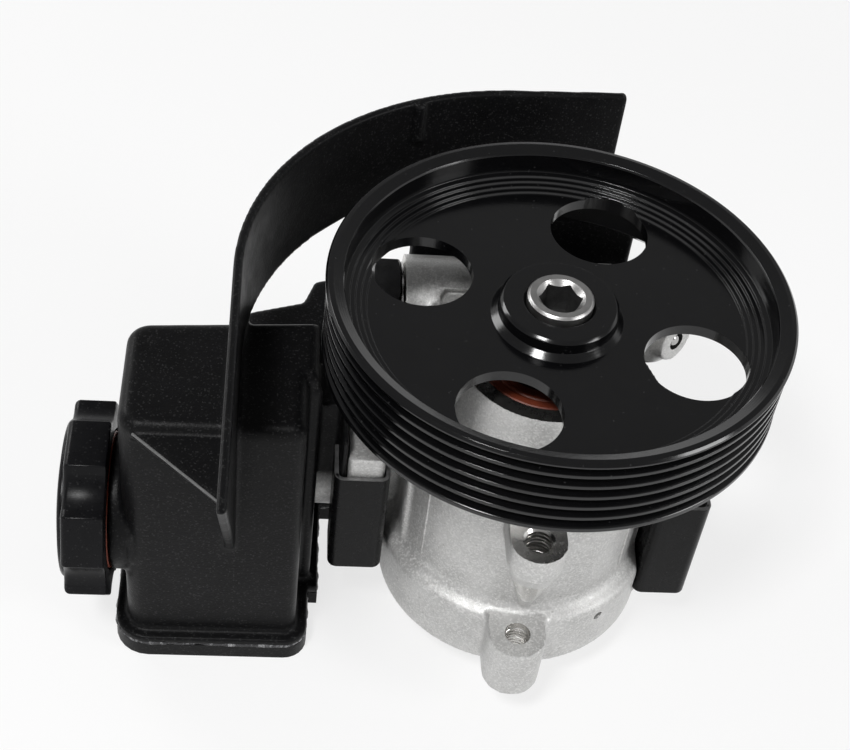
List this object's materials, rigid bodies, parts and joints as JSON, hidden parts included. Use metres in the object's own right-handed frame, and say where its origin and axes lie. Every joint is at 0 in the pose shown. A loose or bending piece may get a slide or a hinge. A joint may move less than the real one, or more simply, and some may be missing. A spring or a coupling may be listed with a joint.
{
  "type": "power steering pump",
  "caption": "Belt driven power steering pump with a ribbed pulley, cast aluminium housing, and a black moulded reservoir with a belt shield, filler cap and clips.",
  "frame": {"origin": "where the shaft axis meets the rear face of the pump housing", "axes": "+Z along the shaft towards the pulley, -Y towards the two threaded ears, -X towards the filler cap"},
  "size_m": [0.181, 0.157, 0.1212],
  "materials": {
    "gloss black paint": "glossy",
    "bright steel": "machined",
    "spring steel": "drawn wire",
    "ground steel": "ground",
    "cast aluminium": "as cast, fine grain",
    "brown seal rubber": "matt",
    "bronze": "plain",
    "sintered iron": "matt",
    "zinc plated steel": "satin",
    "black rubber": "matt",
    "phosphated steel": "dark satin",
    "moulded black plastic": "fine grain",
    "cap plastic": "satin gloss",
    "black clip steel": "satin"
  },
  "bodies": {
    "pump": {"pump_housing": "cast aluminium", "shaft_seal": "brown seal rubber", "shaft_bush": "bronze", "thrust_plate": "sintered iron", "cam_ring": "ground steel", "pressure_plate": "sintered iron", "pressure_spring": "spring steel", "dowel_pin_a": "ground steel", "dowel_pin_b": "ground steel", "end_cover": "zinc plated steel", "end_cover_oring": "black rubber", "end_retaining_ring": "spring steel", "flow_valve_spring": "spring steel", "ball_plug": "bright steel", "outlet_fitting": "phosphated steel", "outlet_washer": "bright steel", "outlet_oring": "black rubber", "reservoir": "moulded black plastic", "reservoir_base": "moulded black plastic", "suction_oring": "black rubber", "left_clip": "black clip steel", "right_clip": "black clip steel"},
    "turning": {"pulley": "gloss black paint", "drive_shaft": "bright steel", "shaft_snap_ring": "spring steel", "rotor": "ground steel"},
    "seal_ring": {"cap_seal": "brown seal rubber"},
    "cap": {"filler_cap": "cap plastic"},
    "valve": {"flow_valve_spool": "ground steel"},
    "vane_01_body": {"vane_01": "ground steel"},
    "vane_02_body": {"vane_02": "ground steel"},
    "vane_03_body": {"vane_03": "ground steel"},
    "vane_04_body": {"vane_04": "ground steel"},
    "vane_05_body": {"vane_05": "ground steel"},
    "vane_06_body": {"vane_06": "ground steel"},
    "vane_07_body": {"vane_07": "ground steel"},
    "vane_08_body": {"vane_08": "ground steel"},
    "vane_09_body": {"vane_09": "ground steel"},
    "vane_10_body": {"vane_10": "ground steel"}
  },
  "joints": [
    {"name": "pulley_spin", "type": "hinge", "parent": "pump", "child": "turning", "pos_m": [0, 0, 0.0947], "axis": [0, 0, 1], "continuous": true},
    {"name": "cap_turn", "type": "hinge", "parent": "seal_ring", "child": "cap", "pos_m": [-0.1112, -0.007, 0.027], "axis": [-1, 0, 0], "range_deg": [0, 720.01]},
    {"name": "cap_lift", "type": "slide", "parent": "pump", "child": "seal_ring", "axis": [-1, 0, 0], "range_m": [0, 0.008]},
    {"name": "spool_slide", "type": "slide", "parent": "pump", "child": "valve", "axis": [1, 0, 0], "range_m": [0, 0.006], "stiffness_N_per_m": 5000, "deforming": ["flow_valve_spring"]},
    {"name": "vane_01_slide", "type": "slide", "parent": "turning", "child": "vane_01_body", "axis": [0.9511, 0.309, 0], "range_m": [0, 0.00046]},
    {"name": "vane_02_slide", "type": "slide", "parent": "turning", "child": "vane_02_body", "axis": [0.5878, 0.809, 0], "range_m": [0, 0.00169]},
    {"name": "vane_03_slide", "type": "slide", "parent": "turning", "child": "vane_03_body", "axis": [0, 1, 0], "range_m": [0, 0.00245]},
    {"name": "vane_04_slide", "type": "slide", "parent": "turning", "child": "vane_04_body", "axis": [-0.5878, 0.809, 0], "range_m": [0, 0.00169]},
    {"name": "vane_05_slide", "type": "slide", "parent": "turning", "child": "vane_05_body", "axis": [-0.9511, 0.309, 0], "range_m": [0, 0.00046]},
    {"name": "vane_06_slide", "type": "slide", "parent": "turning", "child": "vane_06_body", "axis": [-0.9511, -0.309, 0], "range_m": [0, 0.00046]},
    {"name": "vane_07_slide", "type": "slide", "parent": "turning", "child": "vane_07_body", "axis": [-0.5878, -0.809, 0], "range_m": [0, 0.00169]},
    {"name": "vane_08_slide", "type": "slide", "parent": "turning", "child": "vane_08_body", "axis": [0, -1, 0], "range_m": [0, 0.00245]},
    {"name": "vane_09_slide", "type": "slide", "parent": "turning", "child": "vane_09_body", "axis": [0.5878, -0.809, 0], "range_m": [0, 0.00169]},
    {"name": "vane_10_slide", "type": "slide", "parent": "turning", "child": "vane_10_body", "axis": [0.9511, -0.309, 0], "range_m": [0, 0.00046]}
  ],
  "couplings": [
    {"joint": "cap_turn", "follows": "cap_lift", "rad_per_m": 1570.8}
  ]
}
